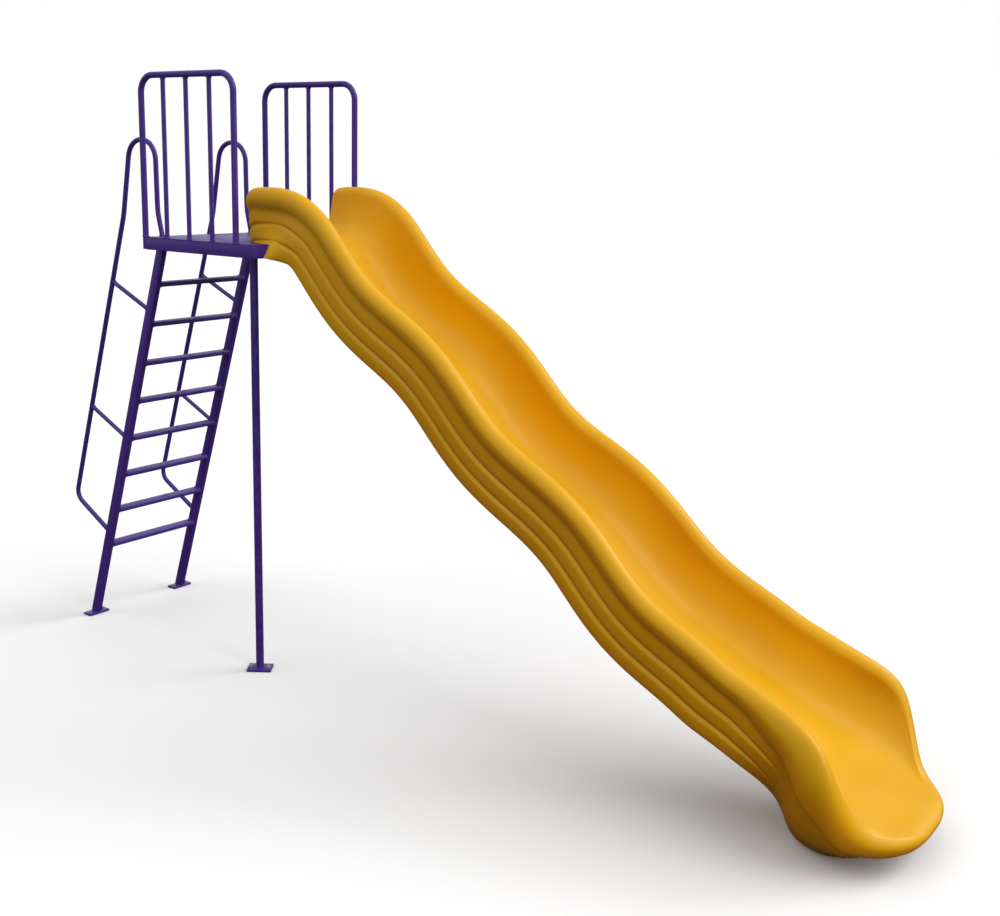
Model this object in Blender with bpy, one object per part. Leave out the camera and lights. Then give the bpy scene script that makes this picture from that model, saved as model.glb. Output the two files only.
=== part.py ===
"""Wave playground slide: a moulded wave chute on a painted tube ladder and deck.

Metres, +Z up. The slide runs along +X, -Y is the side with the single post,
and the ground is z = 0. Lengths below are measured from the ladder side edge
of the deck; ORIGIN_X then moves the whole slide over the middle of its box.
"""
import math

import bmesh
import bpy
from mathutils import Vector

# Placement
ORIGIN_X = 1.3111
GAP = 0.0003

# Deck
DECK_TOP = 1.830
DECK_LENGTH = 0.650
DECK_HALF = 0.364
PLATE_THICK = 0.003
BEAM_DEEP = 0.050
BEAM_THICK = 0.025
CROSS_BEAM_THICK = 0.040
CROSS_BEAM_X = 0.523

# Ladder
LADDER_HALF = 0.2575
STRINGER_DEEP = 0.046
STRINGER_THICK = 0.025
STRINGER_FOOT_X = -0.5902
STRINGER_RUN = 0.319
TREAD_COUNT = 8
TREAD_FIRST_Z = 0.3664
TREAD_PITCH = 0.1788
TREAD_DEEP = 0.055
TREAD_THICK = 0.020

# Feet and post
FOOT_THICK = 0.010
LADDER_FOOT_LONG = 0.052
LADDER_FOOT_WIDE = 0.110
POST_FOOT_LONG = 0.104
POST_FOOT_WIDE = 0.078
POST_FOOT_TURN = math.radians(36.0)
POST_X = 0.5231
POST_Y = -0.2485
POST_RADIUS = 0.01685

# Guard rails over the two sides of the deck
GUARD_HALF = 0.350
GUARD_BACK_X = -0.0131
GUARD_FRONT_X = 0.531
GUARD_TOP = 2.481
GUARD_RADIUS = 0.0127
GUARD_CORNER = 0.070
GUARD_LEG_FOOT_Z = 1.778
BAR_RADIUS = 0.0095
BAR_COUNT = 3

# Handrails beside the ladder
RAIL_RADIUS = 0.011
STRUT_RADIUS = 0.0095
RAIL_BEND = 0.085
RAIL_PATH = [
    (-0.0195, 1.8303, 0.0),
    (-0.0440, 1.9300, 0.25),
    (-0.0480, 2.2270, RAIL_BEND),
    (-0.2100, 2.2270, RAIL_BEND),
    (-0.2700, 1.9050, 0.30),
    (-0.6960, 0.5680, 0.055),
    (-0.4740, 0.4400, 0.0),
]
STRUTS = [(1.611, 1.508), (1.022, 0.912)]

# Chute: a wave on a slope that eases towards the ground. The slope is set by a
# point on it, its angle there and how much it hollows; sections stand square to it
SLOPE_X = 0.750
SLOPE_Z = 1.883
SLOPE_ANGLE = 0.7006
SLOPE_HOLLOW = 0.0227
WAVE_HEIGHT = 0.0221
WAVE_LENGTH = 0.7962
WAVE_START = 0.085
WAVE_END = 2.360
SECTIONS_PER_WAVE = 12
CREST_ABOVE = 0.144
EDGE_BELOW = 0.129
FLOOR_DEPTH = 0.215
BEAD_RADIUS = 0.036
BEAD_SHARE = 0.290

# On the deck: crest x, z and skirt blend; what would reach below the deck's top
# is cut off flat
ENTRANCE_HIGH = 0.275
ENTRANCE_FLOOR = 1.850
ENTRANCE_SKIRT = 0.360
SEAT_STEP = 0.003
ENTRANCE = [
    (0.523, 2.034, 0.00),
    (0.530, 2.043, 0.00),
    (0.555, 2.050, 0.08),
    (0.605, 2.052, 0.35),
    (0.6500, 2.052, 0.60),
    (0.6506, 2.052, 0.60),
]

# Over the deck's edge: crest x, z, lower edge x, z, floor share and skirt blend
BROW = [
    (0.696, 2.050, 0.654, 1.777, 0.740, 0.60),
    (0.748, 2.042, 0.664, 1.772, 0.755, 0.45),
    (0.811, 2.022, 0.682, 1.766, 0.765, 0.20),
    (0.875, 1.985, 0.706, 1.758, 0.775, 0.04),
]

# Exit: crest x, z, lower edge x, z, half width, floor share, rim share, skirt
# blend and skirt half width
EXIT = [
    (2.788, 0.575, 2.684, 0.329, 0.308, 0.815, 0.300, 0.00, 0.300),
    (2.860, 0.545, 2.748, 0.300, 0.313, 0.820, 0.350, 0.05, 0.270),
    (2.928, 0.518, 2.808, 0.268, 0.322, 0.815, 0.420, 0.25, 0.230),
    (2.984, 0.493, 2.846, 0.222, 0.333, 0.755, 0.520, 0.55, 0.200),
    (3.014, 0.477, 2.868, 0.165, 0.341, 0.650, 0.540, 0.80, 0.175),
    (3.038, 0.460, 2.880, 0.095, 0.348, 0.560, 0.540, 0.95, 0.150),
    (3.058, 0.442, 2.898, 0.032, 0.353, 0.500, 0.540, 1.00, 0.145),
    (3.074, 0.422, 2.928, 0.004, 0.357, 0.470, 0.540, 1.00, 0.150),
    (3.087, 0.400, 2.968, 0.000, 0.359, 0.450, 0.550, 1.00, 0.165),
    (3.099, 0.376, 3.010, 0.000, 0.358, 0.430, 0.570, 1.00, 0.178),
    (3.113, 0.342, 3.050, 0.000, 0.353, 0.400, 0.600, 1.00, 0.178),
    (3.128, 0.302, 3.085, 0.000, 0.343, 0.350, 0.630, 1.00, 0.150),
    (3.146, 0.258, 3.115, 0.012, 0.327, 0.285, 0.645, 1.00, 0.135),
    (3.167, 0.216, 3.148, 0.038, 0.300, 0.205, 0.665, 1.00, 0.150),
    (3.193, 0.184, 3.184, 0.062, 0.270, 0.115, 0.760, 1.00, 0.168),
    (3.221, 0.165, 3.217, 0.072, 0.243, 0.040, 0.830, 1.00, 0.168),
    (3.249, 0.156, 3.248, 0.077, 0.215, 0.012, 0.850, 1.00, 0.150),
    (3.275, 0.150, 3.275, 0.081, 0.184, 0.005, 0.850, 1.00, 0.128),
    (3.296, 0.144, 3.296, 0.085, 0.150, 0.005, 0.850, 1.00, 0.112),
    (3.310, 0.136, 3.310, 0.090, 0.116, 0.005, 0.850, 1.00, 0.088),
    (3.319, 0.127, 3.319, 0.097, 0.082, 0.005, 0.850, 1.00, 0.062),
    (3.324, 0.118, 3.324, 0.105, 0.048, 0.005, 0.850, 1.00, 0.038),
]

# Half the width between the rim crests, by x
HALF_WIDTH = [
    (0.530, 0.2510),
    (1.300, 0.2530),
    (1.700, 0.2570),
    (2.100, 0.2710),
    (2.500, 0.2930),
    (2.800, 0.3070),
]
ROLL_FULL_HALF = 0.104

# Half cross section, from the middle of the floor over the rim to the underside:
# shares of the width and depth inside, then the rolled rim's round as angles,
# then the outer wall with its three raised bands
INNER = [
    (0.00, 1.000),
    (0.42, 0.985),
    (0.68, 0.930),
    (0.86, 0.780),
    (0.945, 0.550),
    (0.985, 0.330),
]
BEAD_ANGLES = [180.0, 150.0, 120.0, 90.0, 60.0, 30.0, 0.0, -30.0, -60.0]
BEAD_UNDER = 1.0 + math.sin(math.radians(60.0))
BANDS = [
    (0.0175, 0.055),
    (0.0180, 0.270),
    (0.0110, 0.325),
    (0.0155, 0.380),
    (0.0160, 0.600),
    (0.0090, 0.660),
    (0.0130, 0.715),
    (0.0125, 0.910),
    (0.0030, 1.000),
]
UNDER_INSET = 0.030
UNDER_MIDDLE = 0.45
INNER_ROLL = 0.25

# Skirt that the outer wall blends into over the deck's edge and in the foot
SKIRT_INSET = 0.010
SKIRT_TOP_MOST = 0.305
SKIRT_ROUND = 2.5
SMOOTH_ANGLE = math.radians(35.0)


def make_material(name, colour, roughness):
    """Give a plain Principled material."""
    material = bpy.data.materials.new(name)
    material.use_nodes = True
    shader = material.node_tree.nodes["Principled BSDF"]
    shader.inputs["Base Color"].default_value = (*colour, 1.0)
    shader.inputs["Roughness"].default_value = roughness
    material.diffuse_color = (*colour, 1.0)
    return material


def add_object(name, mesh_data, material, smooth=False):
    """Turn a bmesh into a named object standing at the slide's origin."""
    bmesh.ops.recalc_face_normals(mesh_data, faces=mesh_data.faces)
    mesh = bpy.data.meshes.new(name)
    mesh_data.to_mesh(mesh)
    mesh_data.free()
    mesh.materials.append(material)
    if smooth:
        mesh.shade_smooth()
        mesh.set_sharp_from_angle(angle=SMOOTH_ANGLE)
    piece = bpy.data.objects.new(name, mesh)
    piece.location = (-ORIGIN_X, 0.0, 0.0)
    bpy.context.scene.collection.objects.link(piece)
    return piece


def add_box(name, low, high, material):
    """Add a box between two opposite corners."""
    mesh_data = bmesh.new()
    bmesh.ops.create_cube(mesh_data, size=1.0)
    for vertex in mesh_data.verts:
        for axis in range(3):
            middle = (low[axis] + high[axis]) / 2.0
            vertex.co[axis] = middle + vertex.co[axis] * (high[axis] - low[axis])
    return add_object(name, mesh_data, material)


def add_profile(name, outline, y_low, y_high, material):
    """Add a flat sided bar from an outline in x and z."""
    mesh_data = bmesh.new()
    near = [mesh_data.verts.new((x, y_low, z)) for x, z in outline]
    far = [mesh_data.verts.new((x, y_high, z)) for x, z in outline]
    count = len(outline)
    mesh_data.faces.new(near)
    mesh_data.faces.new(list(reversed(far)))
    for index in range(count):
        following = (index + 1) % count
        mesh_data.faces.new((near[index], far[index], far[following], near[following]))
    return add_object(name, mesh_data, material)


def round_path(corners, step=0.30):
    """Turn corner points with bend radii into a path with rounded bends."""
    points = []
    last = len(corners) - 1
    for index, (x, z, radius) in enumerate(corners):
        here = Vector((x, 0.0, z))
        if index in (0, last) or radius <= 0.0:
            points.append(here)
            continue
        before = Vector((corners[index - 1][0], 0.0, corners[index - 1][1]))
        after = Vector((corners[index + 1][0], 0.0, corners[index + 1][1]))
        back = (before - here).normalized()
        ahead = (after - here).normalized()
        opening = back.angle(ahead)
        reach = radius / math.tan(opening / 2.0)
        middle = (back + ahead).normalized()
        centre = here + middle * (radius / math.sin(opening / 2.0))
        start = here + back * reach - centre
        finish = here + ahead * reach - centre
        turn = start.angle(finish)
        steps = max(2, math.ceil(turn / step))
        for number in range(steps + 1):
            share = number / steps
            low = math.sin((1.0 - share) * turn) / math.sin(turn)
            high = math.sin(share * turn) / math.sin(turn)
            points.append(centre + start * low + finish * high)
    return points


def add_tube(name, path, radius, y, material, sides=12, end_normals=(None, None)):
    """Sweep a round bar along a path in the x, z plane at one y.

    An end normal leans that end's flat cap to match the face it meets.
    """
    mesh_data = bmesh.new()
    across = Vector((0.0, 1.0, 0.0))
    rings = []
    last = len(path) - 1
    for index, point in enumerate(path):
        if index == 0:
            along = (path[1] - path[0]).normalized()
            reach = 1.0
        elif index == last:
            along = (path[last] - path[last - 1]).normalized()
            reach = 1.0
        else:
            before = (point - path[index - 1]).normalized()
            after = (path[index + 1] - point).normalized()
            along = (before + after).normalized()
            reach = 1.0 / max(0.5, along.dot(after))
        side = across.cross(along).normalized()
        ring = []
        for number in range(sides):
            angle = 2.0 * math.pi * (number + 0.5) / sides
            spot = across * math.cos(angle) * radius
            spot = spot + side * math.sin(angle) * radius * reach
            if index == 0 and end_normals[0] is not None:
                spot = spot - along * spot.dot(end_normals[0]) / along.dot(end_normals[0])
            if index == last and end_normals[1] is not None:
                spot = spot - along * spot.dot(end_normals[1]) / along.dot(end_normals[1])
            place = point + spot
            ring.append(mesh_data.verts.new((place.x, y + place.y, place.z)))
        rings.append(ring)
    for first, second in zip(rings, rings[1:]):
        for number in range(sides):
            following = (number + 1) % sides
            mesh_data.faces.new(
                (first[number], first[following], second[following], second[number])
            )
    mesh_data.faces.new(rings[0])
    mesh_data.faces.new(list(reversed(rings[-1])))
    return add_object(name, mesh_data, material, smooth=True)


def stringer_x(z):
    """Centre line of the ladder stringers at a height."""
    return STRINGER_FOOT_X + STRINGER_RUN * z


def half_width(x):
    """Half the width between the two rim crests above the exit."""
    if x <= HALF_WIDTH[0][0]:
        return HALF_WIDTH[0][1]
    for (x0, w0), (x1, w1) in zip(HALF_WIDTH, HALF_WIDTH[1:]):
        if x <= x1:
            share = (x - x0) / (x1 - x0)
            return w0 + (w1 - w0) * share * share * (3.0 - 2.0 * share)
    return HALF_WIDTH[-1][1]


def chute_section(row):
    """Give the half cross section of one station as x, y, z points."""
    crest_x, crest_z, edge_x, edge_z, wide, floor_share, bead_share, *skirt = row
    blend, skirt_half = skirt
    points = []

    def put(y, share):
        x = crest_x + (edge_x - crest_x) * share
        z = crest_z + (edge_z - crest_z) * share
        points.append((x, y, z))

    shrink = min(1.0, wide / ROLL_FULL_HALF)
    inside = wide - BEAD_RADIUS * shrink
    for y_share, depth in INNER:
        put(inside * y_share, floor_share * depth)
    high = math.hypot(edge_x - crest_x, edge_z - crest_z)
    inner_share = min(BEAD_RADIUS / high, INNER_ROLL * floor_share)
    for degrees in BEAD_ANGLES:
        angle = math.radians(degrees)
        share = inner_share if degrees > 90.0 else bead_share / BEAD_UNDER
        offset = BEAD_RADIUS * shrink * math.cos(angle)
        put(wide + offset, share * (1.0 - math.sin(angle)))
    skirt_top = min(wide - SKIRT_INSET * shrink, SKIRT_TOP_MOST)
    for offset, depth in BANDS:
        plain = wide + offset * shrink
        lean = skirt_top + (skirt_half - skirt_top) * depth ** SKIRT_ROUND
        put(plain + (lean - plain) * blend, bead_share + (1.0 - bead_share) * depth)
    under = points[-1][1]
    put(under - UNDER_INSET * shrink, 1.0)
    put(under * UNDER_MIDDLE, 1.0)
    put(0.0, 1.0)
    return points


def seat_on_deck(points):
    """Cut a section off flat where it would reach below the deck's top."""
    seat = DECK_TOP + GAP
    seated = []
    for x, y, z in points:
        if z < seat:
            if seated[-1][2] == seat:
                y = min(y, seated[-1][1] - SEAT_STEP)
            z = seat
        seated.append((x, max(y, 0.0), z))
    return seated


def slope_sections():
    """Number of steps between sections along the waves."""
    return round((WAVE_END - WAVE_START) / WAVE_LENGTH * SECTIONS_PER_WAVE)


def slope_row(number):
    """Crest and lower edge of one section on the waves, square to its run."""
    along = WAVE_START + (WAVE_END - WAVE_START) * number / slope_sections()
    turn = 2.0 * math.pi / WAVE_LENGTH
    lift = WAVE_HEIGHT * math.cos(turn * along) + SLOPE_HOLLOW * along * along
    rise = -WAVE_HEIGHT * turn * math.sin(turn * along) + 2.0 * SLOPE_HOLLOW * along
    ahead = Vector((math.cos(SLOPE_ANGLE), -math.sin(SLOPE_ANGLE)))
    above = Vector((math.sin(SLOPE_ANGLE), math.cos(SLOPE_ANGLE)))
    middle = Vector((SLOPE_X, SLOPE_Z)) + ahead * along + above * lift
    square = (above - ahead * rise).normalized()
    crest = middle + square * CREST_ABOVE
    edge = middle - square * EDGE_BELOW
    return crest.x, crest.y, edge.x, edge.y


def chute_rows():
    """List the stations from the deck to the lip."""
    rows = []
    for x, z, blend in ENTRANCE:
        floor_share = (z - ENTRANCE_FLOOR) / ENTRANCE_HIGH
        rows.append((x, z, x, z - ENTRANCE_HIGH, half_width(x), floor_share,
                     BEAD_SHARE, blend, ENTRANCE_SKIRT))
    for *line, floor_share, blend in BROW:
        rows.append((*line, half_width(line[0]), floor_share, BEAD_SHARE, blend,
                     ENTRANCE_SKIRT))
    floor_share = FLOOR_DEPTH / (CREST_ABOVE + EDGE_BELOW)
    for number in range(slope_sections() + 1):
        line = slope_row(number)
        rows.append((*line, half_width(line[0]), floor_share, BEAD_SHARE, 0.0, 0.0))
    rows.extend(EXIT)
    return rows


def add_chute(material):
    """Loft the chute through its stations and close both ends."""
    mesh_data = bmesh.new()
    rings = []
    for row in chute_rows():
        half = chute_section(row)
        if row[0] <= DECK_LENGTH:
            half = seat_on_deck(half)
        ring = [mesh_data.verts.new(point) for point in half]
        for x, y, z in reversed(half[1:-1]):
            ring.append(mesh_data.verts.new((x, -y, z)))
        rings.append(ring)
    count = len(rings[0])
    for first, second in zip(rings, rings[1:]):
        for number in range(count):
            following = (number + 1) % count
            mesh_data.faces.new(
                (first[number], first[following], second[following], second[number])
            )
    mesh_data.faces.new(rings[0])
    mesh_data.faces.new(list(reversed(rings[-1])))
    return add_object("chute", mesh_data, material, smooth=True)


for old in list(bpy.data.objects):
    bpy.data.objects.remove(old, do_unlink=True)

yellow = make_material("moulded_yellow", (0.83, 0.42, 0.02), 0.35)
purple = make_material("purple_paint", (0.075, 0.035, 0.30), 0.40)

add_chute(yellow)

# Deck: a plate on a frame of rectangular tube
plate_low = DECK_TOP - PLATE_THICK
beam_high = plate_low - GAP
beam_low = beam_high - BEAM_DEEP
inner_y = DECK_HALF - BEAM_THICK - GAP
add_box(
    "deck_plate",
    (0.0, -DECK_HALF, plate_low),
    (DECK_LENGTH, DECK_HALF, DECK_TOP),
    purple,
)
for side, sign in (("near", -1.0), ("far", 1.0)):
    outer = sign * DECK_HALF
    inner = sign * (DECK_HALF - BEAM_THICK)
    add_box(
        "deck_beam_" + side,
        (0.0, min(outer, inner), beam_low),
        (DECK_LENGTH, max(outer, inner), beam_high),
        purple,
    )
for name, x_low, x_high in (
    ("deck_beam_rear", 0.0, BEAM_THICK),
    ("deck_beam_front", DECK_LENGTH - BEAM_THICK, DECK_LENGTH),
    ("deck_cross_beam", CROSS_BEAM_X - CROSS_BEAM_THICK / 2.0,
     CROSS_BEAM_X + CROSS_BEAM_THICK / 2.0),
):
    add_box(name, (x_low, -inner_y, beam_low), (x_high, inner_y, beam_high), purple)

# Ladder stringers: sloping bars cut level at the foot and against the deck
half_face = STRINGER_DEEP / 2.0 * math.hypot(1.0, STRINGER_RUN)
foot_z = FOOT_THICK + GAP
stringer_top = DECK_TOP - GAP
meet_z = (-GAP - half_face - STRINGER_FOOT_X) / STRINGER_RUN
stringer_outline = [
    (stringer_x(foot_z) - half_face, foot_z),
    (stringer_x(foot_z) + half_face, foot_z),
    (-GAP, meet_z),
    (-GAP, stringer_top),
    (stringer_x(stringer_top) - half_face, stringer_top),
]
for side, sign in (("near", -1.0), ("far", 1.0)):
    middle = sign * LADDER_HALF
    add_profile(
        "stringer_" + side,
        stringer_outline,
        middle - STRINGER_THICK / 2.0,
        middle + STRINGER_THICK / 2.0,
        purple,
    )

# Treads: level flat bars between the stringers
tread_y = LADDER_HALF - STRINGER_THICK / 2.0 - GAP
for number in range(TREAD_COUNT):
    tread_z = TREAD_FIRST_Z + TREAD_PITCH * number
    tread_x = stringer_x(tread_z)
    add_box(
        "tread_{}".format(number + 1),
        (tread_x - TREAD_DEEP / 2.0, -tread_y, tread_z - TREAD_THICK / 2.0),
        (tread_x + TREAD_DEEP / 2.0, tread_y, tread_z + TREAD_THICK / 2.0),
        purple,
    )

# Foot plates and the single post
foot_x = stringer_x(FOOT_THICK)
for side, sign in (("near", -1.0), ("far", 1.0)):
    foot_y = sign * LADDER_HALF
    add_box(
        "foot_plate_" + side,
        (foot_x - LADDER_FOOT_LONG / 2.0, foot_y - LADDER_FOOT_WIDE / 2.0, 0.0),
        (foot_x + LADDER_FOOT_LONG / 2.0, foot_y + LADDER_FOOT_WIDE / 2.0, FOOT_THICK),
        purple,
    )
post_foot = add_box(
    "foot_plate_post",
    (-POST_FOOT_LONG / 2.0, -POST_FOOT_WIDE / 2.0, 0.0),
    (POST_FOOT_LONG / 2.0, POST_FOOT_WIDE / 2.0, FOOT_THICK),
    purple,
)
post_foot.location = (POST_X - ORIGIN_X, POST_Y, 0.0)
post_foot.rotation_euler.z = POST_FOOT_TURN
add_tube(
    "post",
    [Vector((POST_X, 0.0, foot_z)), Vector((POST_X, 0.0, beam_low - GAP))],
    POST_RADIUS,
    POST_Y,
    purple,
    sides=20,
)

# Guard rails: one bent hoop a side with three upright bars under its top
guard_corners = [
    (GUARD_BACK_X, GUARD_LEG_FOOT_Z, 0.0),
    (GUARD_BACK_X, GUARD_TOP, GUARD_CORNER),
    (GUARD_FRONT_X, GUARD_TOP, GUARD_CORNER),
    (GUARD_FRONT_X, DECK_TOP + GAP, 0.0),
]
bar_step = (GUARD_FRONT_X - GUARD_BACK_X) / (BAR_COUNT + 1)
for side, sign in (("near", -1.0), ("far", 1.0)):
    add_tube(
        "guard_hoop_" + side,
        round_path(guard_corners),
        GUARD_RADIUS,
        sign * GUARD_HALF,
        purple,
        sides=14,
    )
    for number in range(BAR_COUNT):
        bar_x = GUARD_BACK_X + bar_step * (number + 1)
        bar_top = GUARD_TOP - GUARD_RADIUS - GAP
        add_tube(
            "guard_bar_{}_{}".format(side, number + 1),
            [Vector((bar_x, 0.0, DECK_TOP + GAP)), Vector((bar_x, 0.0, bar_top))],
            BAR_RADIUS,
            sign * GUARD_HALF,
            purple,
        )

# Handrails: a tube from the stringer top over a tight bend and down the ladder
face_normal = Vector((-1.0, 0.0, STRINGER_RUN)).normalized()
rail_corners = list(RAIL_PATH)
end_x, end_z, _ = rail_corners[-1]
face_x = stringer_x(end_z) - half_face - GAP
rail_corners[-1] = (face_x, end_z, 0.0)
rail_path = round_path(rail_corners)


def rail_x(z):
    """Straight part of the handrail at a height."""
    x0, z0, _ = RAIL_PATH[4]
    x1, z1, _ = RAIL_PATH[5]
    return x0 + (x1 - x0) * (z - z0) / (z1 - z0)


for side, sign in (("near", -1.0), ("far", 1.0)):
    add_tube(
        "handrail_" + side,
        rail_path,
        RAIL_RADIUS,
        sign * LADDER_HALF,
        purple,
        end_normals=(Vector((0.0, 0.0, 1.0)), face_normal),
    )
    for number, (rail_z, face_z) in enumerate(STRUTS):
        strut_end = Vector((stringer_x(face_z) - half_face - GAP, 0.0, face_z))
        strut_start = Vector((rail_x(rail_z), 0.0, rail_z))
        rail_normal = Vector((-1.0, 0.0, STRINGER_RUN)).normalized()
        lead = (strut_end - strut_start).normalized()
        clear = (RAIL_RADIUS + GAP) / abs(lead.dot(rail_normal))
        add_tube(
            "handrail_strut_{}_{}".format(side, number + 1),
            [strut_start + lead * clear, strut_end],
            STRUT_RADIUS,
            sign * LADDER_HALF,
            purple,
            end_normals=(rail_normal, face_normal),
        )
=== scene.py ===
import math

import bmesh
import bpy
from mathutils import Matrix, Vector


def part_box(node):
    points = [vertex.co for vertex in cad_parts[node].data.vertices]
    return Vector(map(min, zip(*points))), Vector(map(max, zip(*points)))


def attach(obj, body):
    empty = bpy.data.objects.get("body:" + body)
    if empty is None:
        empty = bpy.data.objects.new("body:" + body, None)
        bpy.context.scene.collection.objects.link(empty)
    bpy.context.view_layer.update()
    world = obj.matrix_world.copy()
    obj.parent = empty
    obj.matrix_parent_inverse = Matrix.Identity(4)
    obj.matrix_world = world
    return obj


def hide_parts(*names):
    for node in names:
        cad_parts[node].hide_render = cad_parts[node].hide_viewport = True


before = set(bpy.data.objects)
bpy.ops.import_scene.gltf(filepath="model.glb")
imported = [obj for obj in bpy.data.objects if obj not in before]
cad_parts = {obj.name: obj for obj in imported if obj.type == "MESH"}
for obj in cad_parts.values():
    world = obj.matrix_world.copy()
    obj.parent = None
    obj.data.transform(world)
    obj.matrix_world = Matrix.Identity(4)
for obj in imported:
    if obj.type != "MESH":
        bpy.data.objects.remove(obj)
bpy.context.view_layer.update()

# Deck
# A 3 mm steel plate on a welded frame of 25 x 50 mm rectangular tube, all powder
# coated purple after welding. The tube has the small round corners it is rolled
# with, and the plate's sheared edges are eased before painting.
DECK_EDGE = 0.0010
BEAM_CORNER = 0.0035
PURPLE_DEEP = (0.056, 0.022, 0.225, 1.0)
PURPLE_LIGHT = (0.074, 0.031, 0.290, 1.0)
PURPLE_RUBBED = (0.110, 0.065, 0.340, 1.0)
DUST = (0.360, 0.330, 0.330, 1.0)


def shade(tree, kind, feeds=None, **settings):
    """Add a shader node, set it up and feed its inputs."""
    made = tree.nodes.new(kind)
    for key, value in settings.items():
        setattr(made, key, value)
    for key, value in (feeds or {}).items():
        if isinstance(value, bpy.types.NodeSocket):
            tree.links.new(value, made.inputs[key])
        else:
            made.inputs[key].default_value = value
    return made


def ramp(tree, value, low, high):
    """Turn a value into a soft mask between two of its levels."""
    return shade(tree, "ShaderNodeMapRange", {"Value": value, "From Min": low, "From Max": high},
                 interpolation_type="SMOOTHSTEP").outputs["Result"]


def product(tree, first, second):
    """Multiply two values."""
    return shade(tree, "ShaderNodeMath", {0: first, 1: second},
                 operation="MULTIPLY").outputs[0]


def blend_colour(tree, share, first, second):
    """Go from the first colour to the second as the share rises from 0 to 1."""
    mixed = shade(tree, "ShaderNodeMix", {0: share, 6: first, 7: second}, data_type="RGBA")
    return mixed.outputs[2]


def effect(name, inputs, output):
    """Start a node group that turns a few numbers into one mask or height."""
    group = bpy.data.node_groups.new(name, "ShaderNodeTree")
    for label, value in inputs:
        socket = group.interface.new_socket(label, in_out="INPUT", socket_type="NodeSocketFloat")
        socket.default_value = value
    group.interface.new_socket(output, in_out="OUTPUT", socket_type="NodeSocketFloat")
    taken = group.nodes.new("NodeGroupInput")
    given = group.nodes.new("NodeGroupOutput")
    place = shade(group, "ShaderNodeTexCoord").outputs["Object"]
    return group, taken, given, place


# Fine unevenness of a sprayed coat or a moulded skin, as a height
peel_group, taken, given, place = effect("coat_unevenness", [("Scale", 300.0)], "Height")
peel = shade(peel_group, "ShaderNodeTexNoise",
             {"Vector": place, "Scale": taken.outputs["Scale"], "Detail": 1.5, "Roughness": 0.45})
peel_group.links.new(peel.outputs["Fac"], given.inputs["Height"])

# Dust that lies on faces looking up, thinner where rain has run
dust_group, taken, given, place = effect("settled_dust", [("Amount", 0.5)], "Mask")
facing = shade(dust_group, "ShaderNodeNewGeometry")
upward = shade(dust_group, "ShaderNodeSeparateXYZ", {0: facing.outputs["Normal"]})
patches = shade(dust_group, "ShaderNodeTexNoise", {"Vector": place, "Scale": 9.0, "Detail": 6.0})
lying = product(dust_group, ramp(dust_group, upward.outputs["Z"], 0.35, 1.0),
                ramp(dust_group, patches.outputs["Fac"], 0.38, 0.68))
dust_group.links.new(product(dust_group, lying, taken.outputs["Amount"]), given.inputs["Mask"])

# Edges and corners rubbed by hands and shoes
rub_group, taken, given, place = effect("rubbed_edges", [("Amount", 0.5)], "Mask")
shape = shade(rub_group, "ShaderNodeNewGeometry")
broken = shade(rub_group, "ShaderNodeTexNoise", {"Vector": place, "Scale": 38.0, "Detail": 5.0})
rubbed = product(rub_group, ramp(rub_group, shape.outputs["Pointiness"], 0.52, 0.60),
                 ramp(rub_group, broken.outputs["Fac"], 0.40, 0.62))
rub_group.links.new(product(rub_group, rubbed, taken.outputs["Amount"]), given.inputs["Mask"])

# Slow change of tone over a whole piece
tone_group, taken, given, place = effect("tone_drift", [("Scale", 2.0)], "Mask")
drift = shade(tone_group, "ShaderNodeTexNoise",
              {"Vector": place, "Scale": taken.outputs["Scale"], "Detail": 3.0})
tone_group.links.new(ramp(tone_group, drift.outputs["Fac"], 0.30, 0.70), given.inputs["Mask"])


def use(tree, group, label, value, output):
    """Put a shared effect into a material."""
    made = tree.nodes.new("ShaderNodeGroup")
    made.node_tree = group
    made.inputs[label].default_value = value
    return made.outputs[output]


purple = bpy.data.materials.new("purple_powder_coat")
purple.use_nodes = True
tree = purple.node_tree
coat = tree.nodes["Principled BSDF"]
tint = blend_colour(tree, use(tree, tone_group, "Scale", 1.5, "Mask"), PURPLE_DEEP, PURPLE_LIGHT)
tint = blend_colour(tree, use(tree, rub_group, "Amount", 0.35, "Mask"), tint, PURPLE_RUBBED)
dusty = use(tree, dust_group, "Amount", 0.08, "Mask")
tree.links.new(blend_colour(tree, dusty, tint, DUST), coat.inputs["Base Color"])
dull = shade(tree, "ShaderNodeMapRange", {"Value": dusty, "From Max": 0.08, "To Min": 0.32,
                                          "To Max": 0.42})
tree.links.new(dull.outputs["Result"], coat.inputs["Roughness"])
coat.inputs["Specular IOR Level"].default_value = 0.28
coat.inputs["Coat Weight"].default_value = 0.06
coat.inputs["Coat Roughness"].default_value = 0.16
bump = shade(tree, "ShaderNodeBump", {"Strength": 0.22, "Distance": 0.0004,
                                      "Height": use(tree, peel_group, "Scale", 420.0, "Height")})
tree.links.new(bump.outputs["Normal"], coat.inputs["Normal"])


def hand_in(piece_name, mould, paint, nodes=(), smooth_to=35.0):
    """Turn a bmesh into a finished piece that rides on the slide."""
    bmesh.ops.recalc_face_normals(mould, faces=mould.faces)
    mesh = bpy.data.meshes.new(piece_name)
    mould.to_mesh(mesh)
    mould.free()
    mesh.materials.append(paint)
    mesh.shade_smooth()
    mesh.set_sharp_from_angle(angle=math.radians(smooth_to))
    piece = bpy.data.objects.new(piece_name, mesh)
    bpy.context.scene.collection.objects.link(piece)
    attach(piece, "root")
    if nodes:
        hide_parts(*nodes)
    return piece


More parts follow.
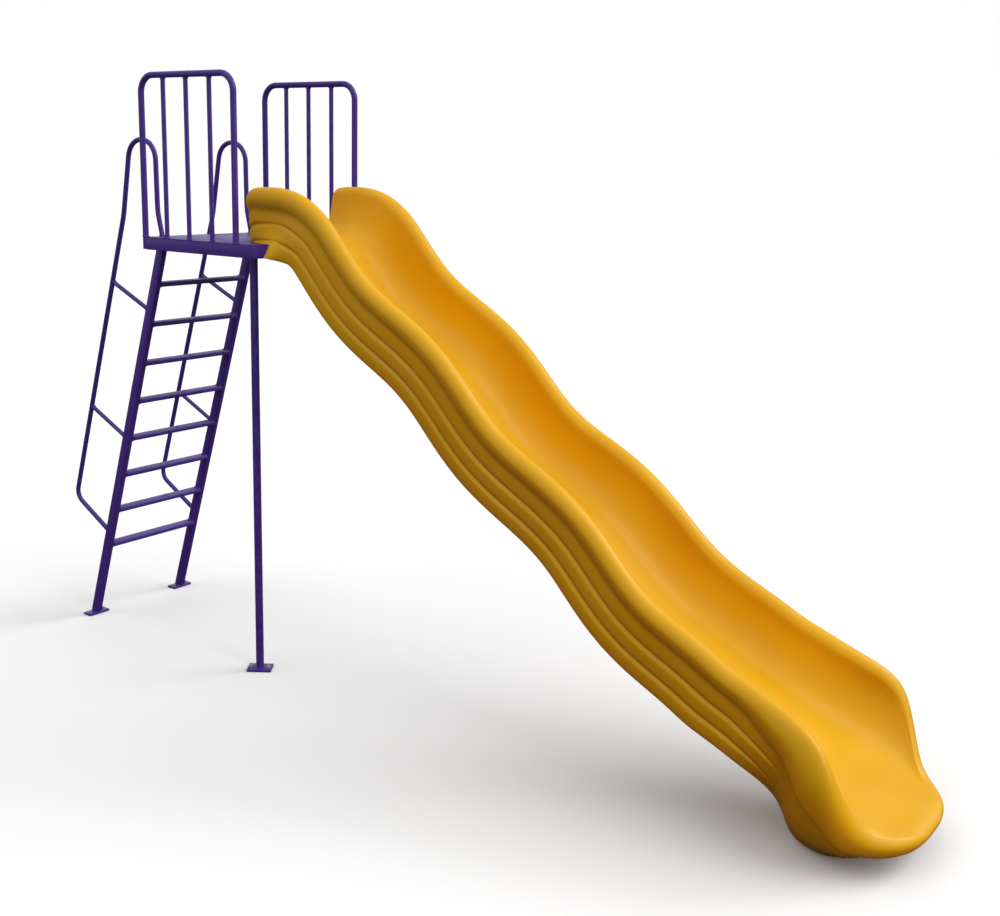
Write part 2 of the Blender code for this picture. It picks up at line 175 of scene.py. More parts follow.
def eased_copy(node, piece_name, corner, segments=3):
    """Repeat a bar or plate of the frame with its long edges rounded."""
    mould = bmesh.new()
    mould.from_mesh(bpy.data.objects[node].data)
    bmesh.ops.remove_doubles(mould, verts=mould.verts, dist=0.00002)
    bmesh.ops.dissolve_limit(mould, angle_limit=0.02, verts=mould.verts, edges=mould.edges)
    bmesh.ops.bevel(mould, geom=list(mould.edges), offset=corner, offset_type="OFFSET",
                    affect="EDGES", segments=segments, profile=0.5, material=-1)
    hand_in(piece_name, mould, purple, (node,))


eased_copy("deck_plate", "deck_sheet", DECK_EDGE, 2)
for place_name in ("near", "far", "rear", "front"):
    eased_copy("deck_beam_" + place_name, "deck_tube_" + place_name, BEAM_CORNER)
eased_copy("deck_cross_beam", "deck_cross_tube", BEAM_CORNER)

# Ladder
# Two stringers of 25 x 46 mm tube lean against the deck, with eight flat treads
# welded level between them. The treads have well rounded noses and a weld bead
# runs round each end.
STRINGER_CORNER = 0.0045
TREAD_CORNER = 0.0055
TREAD_COUNT = 8
BEAD = 0.0028
BEAD_SHORT_OF_EDGE = 0.006

for side in ("near", "far"):
    eased_copy("stringer_" + side, "stringer_tube_" + side, STRINGER_CORNER, 4)
for number in range(1, TREAD_COUNT + 1):
    eased_copy("tread_{}".format(number), "tread_bar_{}".format(number), TREAD_CORNER, 4)


def weld_round(mould, centre, axis, radius):
    """Lay a round weld bead about a tube, in the plane square to its axis."""
    turned = Vector(axis).to_track_quat("Z", "Y").to_matrix().to_4x4()
    section = Matrix.Translation((radius, 0.0, 0.0)) @ Matrix.Rotation(math.pi / 2.0, 4, "X")
    disc = bmesh.ops.create_circle(mould, cap_ends=False, segments=8, radius=BEAD,
                                   matrix=Matrix.Translation(centre) @ turned @ section)
    edges = [edge for edge in mould.edges if edge.verts[0] in disc["verts"]]
    bmesh.ops.spin(mould, geom=disc["verts"] + edges, cent=centre, dvec=(0.0, 0.0, 0.0),
                   axis=turned @ Vector((0.0, 0.0, 1.0)), angle=2.0 * math.pi, steps=28,
                   use_merge=True, use_duplicate=False)


def weld_line(mould, start, end):
    """Lay a straight weld bead with rounded ends between two points."""
    start = Vector(start)
    end = Vector(end)
    along = end - start
    turned = along.to_track_quat("Z", "Y").to_matrix().to_4x4()
    ball = bmesh.ops.create_uvsphere(mould, u_segments=8, v_segments=6, radius=BEAD,
                                     matrix=Matrix.Translation(start) @ turned)
    lead = along.normalized()
    for vertex in ball["verts"]:
        if (vertex.co - start).dot(lead) > 0.0001:
            vertex.co = vertex.co + along


treads_weld = bmesh.new()
for number in range(1, TREAD_COUNT + 1):
    low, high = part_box("tread_{}".format(number))
    for y in (low[1], high[1]):
        for z in (low[2], high[2]):
            weld_line(treads_weld, (low[0] + BEAD_SHORT_OF_EDGE, y, z),
                      (high[0] - BEAD_SHORT_OF_EDGE, y, z))
hand_in("tread_welds", treads_weld, purple)

# Feet
# Small steel plates under the stringers and the post, each held to the ground by
# two zinc plated anchor bolts with washers.
PLATE_EDGE = 0.0015
BOLT_FLATS = 0.0085
BOLT_HEAD = 0.0065
WASHER_RADIUS = 0.0110
WASHER_THICK = 0.0020
LADDER_BOLT_OUT = 0.0385
POST_BOLT_OUT = 0.0360
POST_PLATE_TURN = math.radians(36.0)
WASHER_EASING = 0.0005
HEAD_EASING = 0.0012

for place_name in ("near", "far", "post"):
    eased_copy("foot_plate_" + place_name, "foot_" + place_name, PLATE_EDGE, 2)

zinc = bpy.data.materials.new("zinc_plated_steel")
zinc.use_nodes = True
tree = zinc.node_tree
plated = tree.nodes["Principled BSDF"]
plated.inputs["Metallic"].default_value = 1.0
tint = blend_colour(tree, use(tree, tone_group, "Scale", 60.0, "Mask"), (0.36, 0.37, 0.38, 1.0),
                    (0.56, 0.57, 0.58, 1.0))
tint = blend_colour(tree, use(tree, dust_group, "Amount", 0.35, "Mask"), tint, DUST)
tree.links.new(tint, plated.inputs["Base Color"])
dull = shade(tree, "ShaderNodeMapRange", {"Value": use(tree, tone_group, "Scale", 140.0, "Mask"),
                                          "To Min": 0.28, "To Max": 0.50})
tree.links.new(dull.outputs["Result"], plated.inputs["Roughness"])
bump = shade(tree, "ShaderNodeBump", {"Strength": 0.15, "Distance": 0.0002,
                                      "Height": use(tree, peel_group, "Scale", 900.0, "Height")})
tree.links.new(bump.outputs["Normal"], plated.inputs["Normal"])


def turn_cone(mould, x, y, z_low, z_high, radius, sides, easing):
    """Stand a round or hexagonal blank on a face and ease its top edge."""
    blank = bmesh.ops.create_cone(
        mould, cap_ends=True, segments=sides, radius1=radius, radius2=radius,
        depth=z_high - z_low, matrix=Matrix.Translation((x, y, (z_low + z_high) / 2.0)))
    top = [edge for edge in mould.edges
           if edge.verts[0] in blank["verts"] and min(v.co.z for v in edge.verts) > z_high - 1e-5]
    bmesh.ops.bevel(mould, geom=top, offset=easing, offset_type="OFFSET", affect="EDGES",
                    segments=2, profile=0.5, material=-1)


anchors = bmesh.new()
spots = []
for place_name in ("near", "far"):
    low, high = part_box("foot_plate_" + place_name)
    middle = [(a + b) / 2.0 for a, b in zip(low, high)]
    for way in (-1.0, 1.0):
        spots.append((middle[0], middle[1] + way * LADDER_BOLT_OUT, high[2]))
low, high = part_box("foot_plate_post")
for way in (-1.0, 1.0):
    reach = way * POST_BOLT_OUT
    spots.append(((low[0] + high[0]) / 2.0 + reach * math.cos(POST_PLATE_TURN),
                  (low[1] + high[1]) / 2.0 + reach * math.sin(POST_PLATE_TURN), high[2]))
for x, y, z in spots:
    under_head = z + WASHER_THICK
    turn_cone(anchors, x, y, z, under_head, WASHER_RADIUS, 32, WASHER_EASING)
    turn_cone(anchors, x, y, under_head, under_head + BOLT_HEAD, BOLT_FLATS, 6, HEAD_EASING)
hand_in("anchor_bolts", anchors, zinc)

# Post
# One round tube, 34 mm across, from its foot plate up to the beam under the
# deck's front, welded round both ends.
BEND_STEP = 0.14
low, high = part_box("post")
post_radius = (high[0] - low[0]) / 2.0
post_x = (low[0] + high[0]) / 2.0
post_y = (low[1] + high[1]) / 2.0


def bent_tube(mould, start, lead, radius, moves, sides=28):
    """Draw a tube from a disc: straight runs by length, bends by radius and angle.

    A bend turns about the Y axis, so the tube stays in its x, z plane.
    """
    lead = Vector(lead).normalized()
    here = Vector(start)
    turned = lead.to_track_quat("Z", "Y").to_matrix().to_4x4()
    disc = bmesh.ops.create_circle(mould, cap_ends=True, segments=sides, radius=radius,
                                   matrix=Matrix.Translation(here) @ turned)
    face = disc["verts"][0].link_faces[0]
    geom = [face] + list(face.edges) + list(face.verts)
    for move in moves:
        if move[0] == "run":
            grown = bmesh.ops.extrude_face_region(mould, geom=geom)["geom"]
            verts = [item for item in grown if isinstance(item, bmesh.types.BMVert)]
            bmesh.ops.translate(mould, verts=verts, vec=lead * move[1])
            here = here + lead * move[1]
            geom = grown
        else:
            bend_radius, angle = move[1], move[2]
            across = Vector((0.0, 1.0, 0.0))
            way = 1.0 if angle > 0.0 else -1.0
            centre = here + across.cross(lead) * bend_radius * way
            steps = max(3, math.ceil(abs(angle) / BEND_STEP))
            grown = bmesh.ops.spin(mould, geom=geom, cent=centre, axis=across, angle=angle,
                                   steps=steps, use_merge=False, use_duplicate=False)
            turn = Matrix.Rotation(angle, 3, across)
            here = centre + turn @ (here - centre)
            lead = turn @ lead
            geom = grown["geom_last"]
    return here, lead


post_tube = bmesh.new()
bent_tube(post_tube, (post_x, post_y, low[2]), (0, 0, 1), post_radius,
          [("run", high[2] - low[2])], 40)
for z in (low[2] + BEAD / 2.0, high[2] - BEAD / 2.0):
    weld_round(post_tube, Vector((post_x, post_y, z)), (0, 0, 1), post_radius)
hand_in("post_tube", post_tube, purple, ("post",))

# Guard rails
# A hoop of 25 mm tube stands on each side of the deck, bent to 70 mm corners,
# with three 19 mm bars welded between its top and the deck.
GUARD_CORNER = 0.070
GUARD_RADIUS = 0.0127
BAR_RADIUS = 0.0095
BAR_COUNT = 3

for side in ("near", "far"):
    low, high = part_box("guard_hoop_" + side)
    y = (low[1] + high[1]) / 2.0
    rear_x = low[0] + GUARD_RADIUS
    front_x = high[0] - GUARD_RADIUS
    top_z = high[2] - GUARD_RADIUS
    deck_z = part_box("deck_plate")[1][2]
    hoop = bmesh.new()
    bent_tube(hoop, (rear_x, y, low[2]), (0, 0, 1), GUARD_RADIUS, [
        ("run", top_z - GUARD_CORNER - low[2]),
        ("bend", GUARD_CORNER, math.pi / 2.0),
        ("run", front_x - rear_x - 2.0 * GUARD_CORNER),
        ("bend", GUARD_CORNER, math.pi / 2.0),
        ("run", top_z - GUARD_CORNER - deck_z),
    ])
    weld_round(hoop, Vector((front_x, y, deck_z + BEAD / 2.0)), (0, 0, 1), GUARD_RADIUS)
    weld_round(hoop, Vector((rear_x, y, deck_z + BEAD / 2.0)), (0, 0, 1), GUARD_RADIUS)
    hand_in("guard_rail_" + side, hoop, purple, ("guard_hoop_" + side,))
    for number in range(1, BAR_COUNT + 1):
        node = "guard_bar_{}_{}".format(side, number)
        low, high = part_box(node)
        x = (low[0] + high[0]) / 2.0
        upright = bmesh.new()
        bent_tube(upright, (x, y, low[2]), (0, 0, 1), BAR_RADIUS, [("run", high[2] - low[2])], 22)
        for z in (low[2] + BEAD / 2.0, high[2] - BEAD / 2.0):
            weld_round(upright, Vector((x, y, z)), (0, 0, 1), BAR_RADIUS)
        hand_in("guard_upright_{}_{}".format(side, number), upright, purple,
                (node,))

# Handrails
# A 21 mm tube rises from the stringer's top, turns over a hairpin and runs down
# beside the ladder to a tight bend below, held off the stringer by two struts.
RAIL_RADIUS = 0.0107
# x, z and bend radius at each corner, measured from the deck's ladder edge
RAIL_CORNERS = [
    (-0.0195, 1.8303, 0.0),
    (-0.0440, 1.9300, 0.25),
    (-0.0480, 2.2270, 0.085),
    (-0.2100, 2.2270, 0.085),
    (-0.2700, 1.9050, 0.30),
    (-0.6960, 0.5680, 0.055),
    (-0.4740, 0.4400, 0.0),
]
deck_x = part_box("deck_plate")[0][0]


def moves_along(corners):
    """Turn corner points with bend radii into runs and bends."""
    points = [Vector((x, 0.0, z)) for x, z, _ in corners]
    moves = []
    used = 0.0
    for index in range(1, len(corners)):
        arriving = points[index] - points[index - 1]
        if index == len(corners) - 1:
            moves.append(("run", arriving.length - used))
            break
        leaving = points[index + 1] - points[index]
        angle = arriving.angle(leaving)
        way = 1.0 if arriving.cross(leaving).y > 0.0 else -1.0
        reach = corners[index][2] * math.tan(angle / 2.0)
        moves.append(("run", arriving.length - used - reach))
        moves.append(("bend", corners[index][2], way * angle))
        used = reach
    return moves


for side in ("near", "far"):
    low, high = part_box("handrail_" + side)
    y = (low[1] + high[1]) / 2.0
    corners = [(x + deck_x, z, bend) for x, z, bend in RAIL_CORNERS]
    first = Vector((corners[0][0], y, corners[0][1]))
    lead = Vector((corners[1][0], y, corners[1][1])) - first
    rail = bmesh.new()
    bent_tube(rail, first, lead, RAIL_RADIUS, moves_along(corners), 24)
    weld_round(rail, first + Vector((0.0, 0.0, BEAD / 2.0)), (0, 0, 1), RAIL_RADIUS)
    hand_in("handrail_tube_" + side, rail, purple, ("handrail_" + side,))

# Handrail struts
# Two short 19 mm tubes on each side hold the handrail off its stringer. They slope
# down to the ladder and are welded all round at both ends.
STRUT_RADIUS = 0.0095
# Height of each strut at the handrail and at the stringer's face
STRUT_HEIGHTS = [(1.611, 1.508), (1.022, 0.912)]
# The stringers' rear face: its x at the ground from the deck's ladder edge, and its lean
FACE_FOOT_X = -0.6143
FACE_RUN = 0.319
# How deep the ends go in: a share of the rail's radius, and metres into the face
STRUT_INTO_RAIL = 0.3
STRUT_INTO_FACE = 0.003

for side in ("near", "far"):
    low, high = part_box("stringer_" + side)
    y = (low[1] + high[1]) / 2.0
    (upper_x, upper_z, _), (lower_x, lower_z, _) = RAIL_CORNERS[4:6]
    for number, (rail_z, face_z) in enumerate(STRUT_HEIGHTS, 1):
        rail_x = upper_x + (lower_x - upper_x) * (upper_z - rail_z) / (upper_z - lower_z)
        start = Vector((deck_x + rail_x, y, rail_z))
        end = Vector((deck_x + FACE_FOOT_X + FACE_RUN * face_z, y, face_z))
        lead = (end - start).normalized()
        start = start + lead * RAIL_RADIUS * (1.0 - STRUT_INTO_RAIL)
        strut = bmesh.new()
        bent_tube(strut, start, lead, STRUT_RADIUS,
                  [("run", (end - start).length + STRUT_INTO_FACE)], 22)
        weld_round(strut, start + lead * RAIL_RADIUS * (STRUT_INTO_RAIL + 0.1), lead,
                   STRUT_RADIUS)
        weld_round(strut, end, (-1.0, 0.0, FACE_RUN), STRUT_RADIUS)
        hand_in("strut_tube_{}_{}".format(side, number), strut, purple,
                ("handrail_strut_{}_{}".format(side, number),))

# Chute
# One rotationally moulded shell of yellow polyethylene: a waved channel between
# two rolled rims, with two grooves along its outer walls and a foot below the lip.
# It is bolted down on the deck's front edge and stands on the ground at its exit.
YELLOW_DEEP = (0.765, 0.390, 0.0010, 1.0)
YELLOW_LIGHT = (0.825, 0.430, 0.0020, 1.0)
# Painted shade: the darker yellow for faces that look sideways or down, low on the chute
YELLOW_PAINTED_SHADE = (0.630, 0.245, 0.0010, 1.0)
YELLOW_SCUFFED = (0.850, 0.480, 0.0120, 1.0)

slope_x, slope_z, slope_angle, slope_hollow = 0.750, 1.883, 0.7006, 0.0227
wave_height, wave_length, wave_start, wave_end = 0.0221, 0.7962, 0.085, 2.360
crest_above, edge_below, floor_depth = 0.144, 0.129, 0.215
slope_steps = 30
bead_radius, bead_share, inner_roll = 0.036, 0.290, 0.25
# Narrower than this at the lip, the rim's roll shrinks with the width
roll_full_half = 0.104
# The skirt starts a little inside the rim and curves in or out to its own width
skirt_inset, skirt_top_most, skirt_round = 0.010, 0.305, 2.5
entrance_high, entrance_floor, entrance_skirt = 0.275, 1.850, 0.360
deck_edge, seat_gap, seat_step = 0.650, 0.0004, 0.003
# The underside: its rounded corner, its flat rim and where its middle begins
under_corner, under_rim, under_middle = 0.012, 0.040, 0.45
end_crease, seat_crease = 0.8, 1.0

# On the deck: crest x, z and how far the wall blends into the flared skirt
ENTRANCE = [(0.523, 2.034, 0.00), (0.530, 2.043, 0.00), (0.555, 2.050, 0.08),
            (0.605, 2.052, 0.35), (0.6500, 2.052, 0.60), (0.6506, 2.052, 0.60)]
# Over the deck's edge: crest x, z, lower edge x, z, floor share and skirt blend
BROW = [(0.696, 2.050, 0.654, 1.777, 0.740, 0.60), (0.748, 2.042, 0.664, 1.772, 0.755, 0.45),
        (0.811, 2.022, 0.682, 1.766, 0.765, 0.20), (0.875, 1.985, 0.706, 1.758, 0.775, 0.04)]
# Exit: crest x, z, lower edge x, z, half width, floor, rim, skirt blend, skirt half
EXIT = [
    (2.788, 0.575, 2.684, 0.329, 0.308, 0.815, 0.300, 0.00, 0.300),
    (2.860, 0.545, 2.748, 0.300, 0.313, 0.820, 0.350, 0.05, 0.270),
    (2.928, 0.518, 2.808, 0.268, 0.322, 0.815, 0.420, 0.25, 0.230),
    (2.984, 0.493, 2.846, 0.222, 0.333, 0.755, 0.410, 0.55, 0.200),
    (3.014, 0.477, 2.868, 0.165, 0.341, 0.667, 0.410, 0.80, 0.175),
    (3.038, 0.460, 2.880, 0.095, 0.348, 0.563, 0.410, 0.95, 0.150),
    (3.058, 0.442, 2.898, 0.032, 0.353, 0.489, 0.415, 1.00, 0.145),
    (3.074, 0.422, 2.928, 0.004, 0.357, 0.459, 0.420, 1.00, 0.150),
    (3.087, 0.400, 2.968, 0.000, 0.359, 0.454, 0.430, 1.00, 0.165),
    (3.099, 0.376, 3.010, 0.000, 0.358, 0.447, 0.445, 1.00, 0.178),
    (3.113, 0.342, 3.050, 0.000, 0.353, 0.420, 0.470, 1.00, 0.178),
    (3.128, 0.302, 3.085, 0.000, 0.343, 0.371, 0.505, 1.00, 0.150),
    (3.146, 0.258, 3.115, 0.012, 0.327, 0.309, 0.550, 1.00, 0.135),
    (3.167, 0.216, 3.148, 0.038, 0.300, 0.236, 0.610, 1.00, 0.150),
    (3.193, 0.184, 3.184, 0.062, 0.270, 0.152, 0.720, 1.00, 0.168),
    (3.221, 0.165, 3.217, 0.072, 0.243, 0.075, 0.800, 1.00, 0.168),
    (3.249, 0.156, 3.248, 0.077, 0.215, 0.030, 0.850, 1.00, 0.150),
    (3.275, 0.150, 3.275, 0.081, 0.184, 0.005, 0.850, 1.00, 0.128),
    (3.296, 0.144, 3.296, 0.085, 0.150, 0.005, 0.850, 1.00, 0.112),
    (3.310, 0.136, 3.310, 0.090, 0.116, 0.005, 0.850, 1.00, 0.088),
    (3.319, 0.127, 3.319, 0.097, 0.082, 0.005, 0.850, 1.00, 0.062),
    (3.324, 0.118, 3.324, 0.105, 0.048, 0.005, 0.850, 1.00, 0.038),
]
# Half the width between the rim crests, by x
HALF_WIDTH = [(0.530, 0.2510), (1.300, 0.2530), (1.700, 0.2570), (2.100, 0.2710),
              (2.500, 0.2930), (2.800, 0.3070)]
# Inside from the middle of the floor to the wall: shares of the width and the depth
INNER = [(0.00, 1.000), (0.24, 0.998), (0.44, 0.985), (0.60, 0.958), (0.72, 0.905),
         (0.82, 0.820), (0.89, 0.700), (0.94, 0.545), (0.97, 0.400), (0.988, 0.290)]
# Outside below the rim: how far out and what share of the way down; two deep grooves
BANDS = [(0.0176, 0.05), (0.0184, 0.14), (0.0184, 0.25), (0.0170, 0.290), (0.0080, 0.315),
         (0.0076, 0.345), (0.0150, 0.372), (0.0162, 0.43), (0.0160, 0.58), (0.0146, 0.622),
         (0.0062, 0.648), (0.0058, 0.678), (0.0124, 0.705), (0.0134, 0.77), (0.0128, 0.90),
         (0.0100, 0.965), (0.0030, 1.000)]


def half_width(x):
    """Half the width between the crests above the exit."""
    wide = HALF_WIDTH[0][1]
    for (x0, w0), (x1, w1) in zip(HALF_WIDTH, HALF_WIDTH[1:]):
        share = min(1.0, max(0.0, (x - x0) / (x1 - x0)))
        wide += (w1 - w0) * share * share * (3.0 - 2.0 * share)
    return wide


def half_section(row):
    """Half the outline of one station: floor, wall, rim, outer wall, underside."""
    crest_x, crest_z, edge_x, edge_z, wide, floor_share, rim_share, blend, skirt_half = row
    roll = min(1.0, wide / roll_full_half)
    high = math.hypot(edge_x - crest_x, edge_z - crest_z)
    inner_share = min(bead_radius / high, inner_roll * floor_share)
    spots = [((wide - bead_radius * roll) * across, floor_share * deep) for across, deep in INNER]
    outer_share = rim_share / (1.0 + math.sin(math.radians(60.0)))
    for degrees in range(180, -61, -20):
        angle = math.radians(degrees)
        share = inner_share if degrees > 90 else outer_share
        spots.append((wide + bead_radius * roll * math.cos(angle), share * (1.0 - math.sin(angle))))
    skirt_top = min(wide - skirt_inset * roll, skirt_top_most)
    for out, down in BANDS:
        lean = skirt_top + (skirt_half - skirt_top) * down ** skirt_round
        y = wide + out * roll
        spots.append((y + (lean - y) * blend, rim_share + (1.0 - rim_share) * down))
    under = spots[-1][0]
    spots += [(under - under_corner * roll, 1.0), (under - under_rim * roll, 1.0),
              (under * under_middle, 1.0), (0.0, 1.0)]
    return [Vector((crest_x + (edge_x - crest_x) * share, y, crest_z + (edge_z - crest_z) * share))
            for y, share in spots]


deck_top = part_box("deck_plate")[1][2]
stations = []
for x, z, blend in ENTRANCE:
    half = half_section((x, z, x, z - entrance_high, half_width(x),
                         (z - entrance_floor) / entrance_high, bead_share, blend, entrance_skirt))
    # What would reach below the deck's top is cut off flat, up to the deck's edge
    for index, point in enumerate(half):
        if x <= deck_edge and point.z < deck_top + seat_gap:
            point.z = deck_top + seat_gap
            if abs(half[index - 1].z - point.z) < 1e-6:
                point.y = max(0.0, min(point.y, half[index - 1].y - seat_step))
    stations.append(half)
for *line, floor_share, blend in BROW:
    stations.append(half_section((*line, half_width(line[0]), floor_share, bead_share, blend,
                                  entrance_skirt)))
turn = 2.0 * math.pi / wave_length
ahead = Vector((math.cos(slope_angle), -math.sin(slope_angle)))
above = Vector((math.sin(slope_angle), math.cos(slope_angle)))
for number in range(slope_steps + 1):
    along = wave_start + (wave_end - wave_start) * number / slope_steps
    lift = wave_height * math.cos(turn * along) + slope_hollow * along * along
    rise = 2.0 * slope_hollow * along - wave_height * turn * math.sin(turn * along)
    middle = Vector((slope_x, slope_z)) + ahead * along + above * lift
    square = (above - ahead * rise).normalized()
    crest = middle + square * crest_above
    stations.append(half_section((*crest, *(middle - square * edge_below), half_width(crest.x),
                                  floor_depth / (crest_above + edge_below), bead_share, 0.0,
                                  0.0)))
stations += [half_section(row) for row in EXIT]

shell = bmesh.new()
order = shell.verts.layers.int.new("order")
edges = []
for index, point in enumerate(stations[0]):
    vertex = shell.verts.new(point)
    vertex[order] = index
    if index:
        edges.append(shell.edges.new((before, vertex)))
    before = vertex
for half in stations[1:]:
    grown = bmesh.ops.extrude_edge_only(shell, edges=edges)["geom"]
    edges = [item for item in grown if isinstance(item, bmesh.types.BMEdge)]
    edges = [edge for edge in edges if abs(edge.verts[0][order] - edge.verts[1][order]) == 1]
    for vertex in {vertex for edge in edges for vertex in edge.verts}:
        vertex.co = half[vertex[order]]
bmesh.ops.mirror(shell, geom=shell.verts[:] + shell.edges[:] + shell.faces[:], axis="Y",
                 matrix=Matrix.Identity(4), merge_dist=0.00005)
# Caps at both ends, with creases that hold their edges and the foot of the entrance
crease = shell.edges.layers.float.new("crease_edge")
for rim in (True, False):
    ends = [edge for edge in shell.edges if edge.is_boundary
            and (edge.verts[0].co.x < 1.0) == rim]
    for edge in ends:
        edge[crease] = end_crease
    bmesh.ops.triangle_fill(shell, edges=ends, use_beauty=True)
for edge in shell.edges:
    if all(abs(vertex.co.x - deck_edge) < 0.001 and vertex.co.z < deck_top + 0.002
           for vertex in edge.verts):
        edge[crease] = seat_crease
bmesh.ops.translate(shell, verts=shell.verts, vec=(deck_x, 0.0, 0.0))

yellow = bpy.data.materials.new("yellow_polyethylene")
yellow.use_nodes = True
tree = yellow.node_tree
skin = tree.nodes["Principled BSDF"]
place = shade(tree, "ShaderNodeTexCoord").outputs["Object"]
tint = blend_colour(tree, use(tree, tone_group, "Scale", 2.2, "Mask"), YELLOW_DEEP, YELLOW_LIGHT)
facing = shade(tree, "ShaderNodeNewGeometry")
upward = shade(tree, "ShaderNodeSeparateXYZ", {0: facing.outputs["Normal"]})
# Painted shade: faces that look sideways or down take a darker yellow, fully below
# 0.9 m and fading out by 2.3 m, standing in for shade towards the ground
spot = shade(tree, "ShaderNodeSeparateXYZ", {0: place})
painted_shade = product(tree, ramp(tree, upward.outputs["Z"], 0.25, -0.10),
                 ramp(tree, spot.outputs["Z"], 2.30, 0.90))
tint = blend_colour(tree, painted_shade, tint, YELLOW_PAINTED_SHADE)
# Lengthwise scuffs where children slide, kept to the middle of the channel
drawn = shade(tree, "ShaderNodeMapping", {"Vector": place, "Scale": (5.0, 260.0, 5.0)})
scuffs = shade(tree, "ShaderNodeTexNoise", {"Vector": drawn.outputs[0], "Scale": 1.0,
                                            "Detail": 4.0})
middle = shade(tree, "ShaderNodeMath", {0: spot.outputs["Y"]}, operation="ABSOLUTE")
lane = product(tree, ramp(tree, middle.outputs[0], 0.20, 0.06),
               ramp(tree, upward.outputs["Z"], 0.45, 0.75))
worn = product(tree, lane, ramp(tree, scuffs.outputs["Fac"], 0.50, 0.68))
soft = product(tree, worn, 0.30)
tint = blend_colour(tree, soft, tint, YELLOW_SCUFFED)
tint = blend_colour(tree, use(tree, rub_group, "Amount", 0.20, "Mask"), tint, YELLOW_SCUFFED)
tree.links.new(blend_colour(tree, use(tree, dust_group, "Amount", 0.05, "Mask"), tint, DUST),
               skin.inputs["Base Color"])
gloss = shade(tree, "ShaderNodeMapRange", {"Value": worn, "To Min": 0.36, "To Max": 0.48})
tree.links.new(gloss.outputs["Result"], skin.inputs["Roughness"])
skin.inputs["Specular IOR Level"].default_value = 0.22
skin.inputs["Coat Weight"].default_value = 0.10
skin.inputs["Coat Roughness"].default_value = 0.22
grain = shade(tree, "ShaderNodeBump", {"Strength": 0.16, "Distance": 0.0006,
                                       "Height": use(tree, peel_group, "Scale", 210.0, "Height")})
swell = shade(tree, "ShaderNodeTexNoise", {"Vector": place, "Scale": 7.0, "Detail": 1.0})
wavy = shade(tree, "ShaderNodeBump", {"Strength": 0.20, "Distance": 0.0030,
                                      "Height": swell.outputs["Fac"],
                                      "Normal": grain.outputs["Normal"]})
tree.links.new(wavy.outputs["Normal"], skin.inputs["Normal"])

chute = hand_in("chute_shell", shell, yellow, ("chute",), 60.0)
rounding = chute.modifiers.new("rounding", "SUBSURF")
rounding.levels = 2
rounding.render_levels = 2

# Seat bolts
# Two zinc plated button head bolts with wide washers, through the chute's floor
# into the deck's front beam.
SEAT_BOLT_X = 0.600
SEAT_BOLT_OUT = 0.090
SEAT_FLOOR_Z = 1.8525
SEAT_WASHER = (0.0015, 0.0125)
SEAT_HEAD = (0.0045, 0.0080)

seat_bolts = bmesh.new()
for way in (-1.0, 1.0):
    rise = SEAT_FLOOR_Z
    for thick, radius in (SEAT_WASHER, SEAT_HEAD):
        turn_cone(seat_bolts, deck_x + SEAT_BOLT_X, way * SEAT_BOLT_OUT, rise, rise + thick,
                  radius, 32, thick * 0.45)
        rise += thick
hand_in("seat_bolts", seat_bolts, zinc)

# Studio
# A plain pale floor, a broad soft light from above the exit, a smaller one from
# behind, a weak one at the front, and the camera at the photograph's angle.
FLOOR_HALF = 30.0
FLOOR_BOUNCE = (0.10, 0.10, 0.10, 1.0)
SKY_FILL = 0.58

floor_mesh = bmesh.new()
bmesh.ops.create_grid(floor_mesh, x_segments=1, y_segments=1, size=FLOOR_HALF)
sheet = bpy.data.meshes.new("studio_floor")
floor_mesh.to_mesh(sheet)
floor_mesh.free()
studio_floor = bpy.data.objects.new("studio_floor", sheet)
bpy.context.scene.collection.objects.link(studio_floor)
pale = bpy.data.materials.new("pale_floor")
pale.use_nodes = True
tree = pale.node_tree
ground = tree.nodes["Principled BSDF"]
tint = blend_colour(tree, use(tree, tone_group, "Scale", 0.5, "Mask"), (0.96, 0.96, 0.96, 1.0),
                    (0.98, 0.98, 0.98, 1.0))
# The floor looks pale but throws little light up, so the undersides stay dark
ray = shade(tree, "ShaderNodeLightPath")
tree.links.new(blend_colour(tree, ray.outputs["Is Camera Ray"], FLOOR_BOUNCE, tint),
               ground.inputs["Base Color"])
ground.inputs["Roughness"].default_value = 0.9
ground.inputs["Specular IOR Level"].default_value = 0.0
sheet.materials.append(pale)

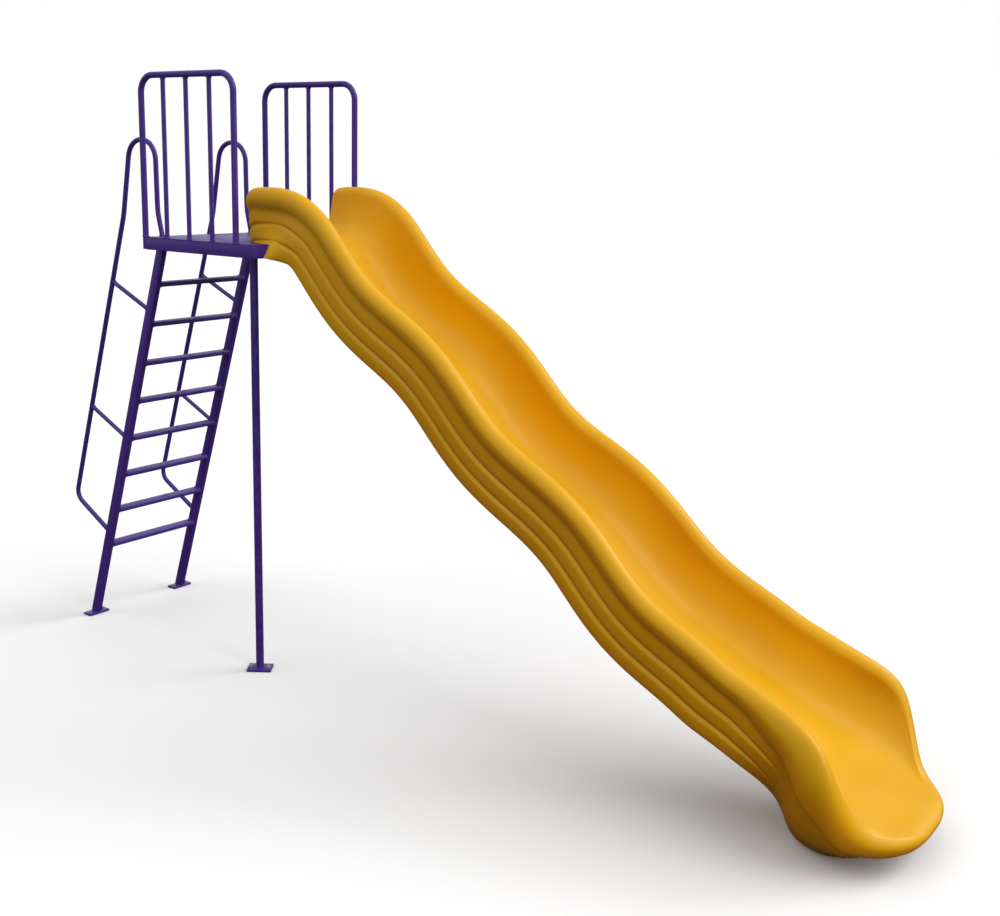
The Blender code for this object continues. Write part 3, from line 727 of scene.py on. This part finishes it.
world = bpy.data.worlds.new("studio")
world.use_nodes = True
tree = world.node_tree
sky = tree.nodes["Background"]
sky.inputs["Color"].default_value = (1.0, 1.0, 1.0, 1.0)
sky.inputs["Strength"].default_value = SKY_FILL
backdrop = shade(tree, "ShaderNodeBackground", {"Color": (1.0, 1.0, 1.0, 1.0), "Strength": 1.0})
ray = shade(tree, "ShaderNodeLightPath")
either = shade(tree, "ShaderNodeMixShader", {0: ray.outputs["Is Camera Ray"],
                                             1: sky.outputs[0], 2: backdrop.outputs[0]})
tree.links.new(either.outputs[0], tree.nodes["World Output"].inputs["Surface"])
bpy.context.scene.world = world
bpy.context.scene.view_settings.view_transform = "Standard"

# Each light's direction, its spread in degrees and its strength
for light_name, lead, spread, power in (
    ("top_light", (0.80, 0.20, 0.72), 60.0, 1.45),
    ("back_light", (0.6, 0.9, 0.8), 22.0, 0.65),
    ("front_light", (-0.2, -0.7, 1.0), 50.0, 0.35),
):
    lamp = bpy.data.lights.new(light_name, "SUN")
    lamp.angle = math.radians(spread)
    lamp.energy = power
    stand = bpy.data.objects.new(light_name, lamp)
    stand.rotation_euler = Vector(lead).to_track_quat("Z", "Y").to_euler()
    stand.location = Vector(lead) * 5.0
    bpy.context.scene.collection.objects.link(stand)

CAMERA_SPOT = (2.9827, -3.8630, 2.1671)
# The camera's turn about the vertical, its dip and its tilt, in radians
yaw, pitch, roll = 0.6301, 0.2213, -0.0231
forward = Vector((-math.sin(yaw) * math.cos(pitch), math.cos(yaw) * math.cos(pitch),
                  -math.sin(pitch)))
level = Vector((math.cos(yaw), math.sin(yaw), 0.0))
down = forward.cross(level)
right = level * math.cos(roll) + down * math.sin(roll)
down = down * math.cos(roll) - level * math.sin(roll)
lens = bpy.data.cameras.new("camera")
lens.sensor_fit = "HORIZONTAL"
lens.sensor_width = 36.0
lens.lens = 45.572
lens.shift_x = 0.0233
lens.shift_y = -0.0114
lens.clip_end = 200.0
camera = bpy.data.objects.new("camera", lens)
turned = Matrix((right, -down, -forward)).transposed().to_4x4()
camera.matrix_world = Matrix.Translation(CAMERA_SPOT) @ turned
bpy.context.scene.collection.objects.link(camera)
bpy.context.scene.camera = camera
